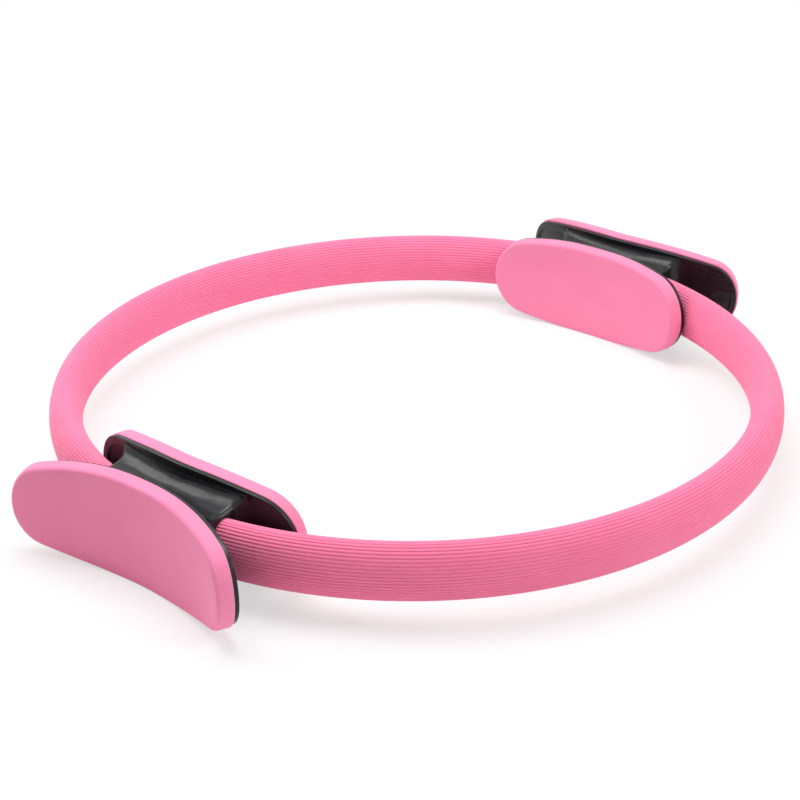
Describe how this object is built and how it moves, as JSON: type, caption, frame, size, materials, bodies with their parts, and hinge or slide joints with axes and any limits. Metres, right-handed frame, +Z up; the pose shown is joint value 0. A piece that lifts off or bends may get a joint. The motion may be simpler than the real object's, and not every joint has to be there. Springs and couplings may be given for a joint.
{
  "type": "pilates ring",
  "caption": "Round springy hoop in a ribbed foam sleeve with padded handles on opposite sides, squeezed or pressed apart for resistance exercise.",
  "frame": {"origin": "centre of the ring, in the plane that the pads rest on when the ring lies flat", "axes": "+Z up through the ring, +X from the near handle to the far handle, +Y to the left of +X"},
  "size_m": [0.3986, 0.3558, 0.0492],
  "materials": {
    "sleeve_foam": "matte",
    "pad_foam": "matte",
    "shell_plastic": "satin",
    "core_strip": "satin",
    "steel": "satin"
  },
  "bodies": {
    "near_handle": {"near_inner_shell": "shell_plastic", "near_outer_shell": "shell_plastic", "near_inner_pad": "pad_foam", "near_outer_pad": "pad_foam", "near_core_ferrule": "steel", "near_clamp_screws": "steel", "core_leaf_inner": "core_strip", "core_leaf_middle": "core_strip", "core_leaf_outer": "core_strip", "foam_sleeve_front": "sleeve_foam", "foam_sleeve_back": "sleeve_foam"},
    "far_handle": {"far_inner_shell": "shell_plastic", "far_outer_shell": "shell_plastic", "far_inner_pad": "pad_foam", "far_outer_pad": "pad_foam", "far_core_ferrule": "steel", "far_clamp_screws": "steel"}
  },
  "joints": [
    {"name": "squeeze", "type": "slide", "parent": "near_handle", "child": "far_handle", "axis": [1, 0, 0], "range_m": [-0.08, 0.02], "stiffness_N_per_m": 1200, "deforming": ["foam_sleeve_front", "foam_sleeve_back", "core_leaf_inner", "core_leaf_middle", "core_leaf_outer"]}
  ]
}
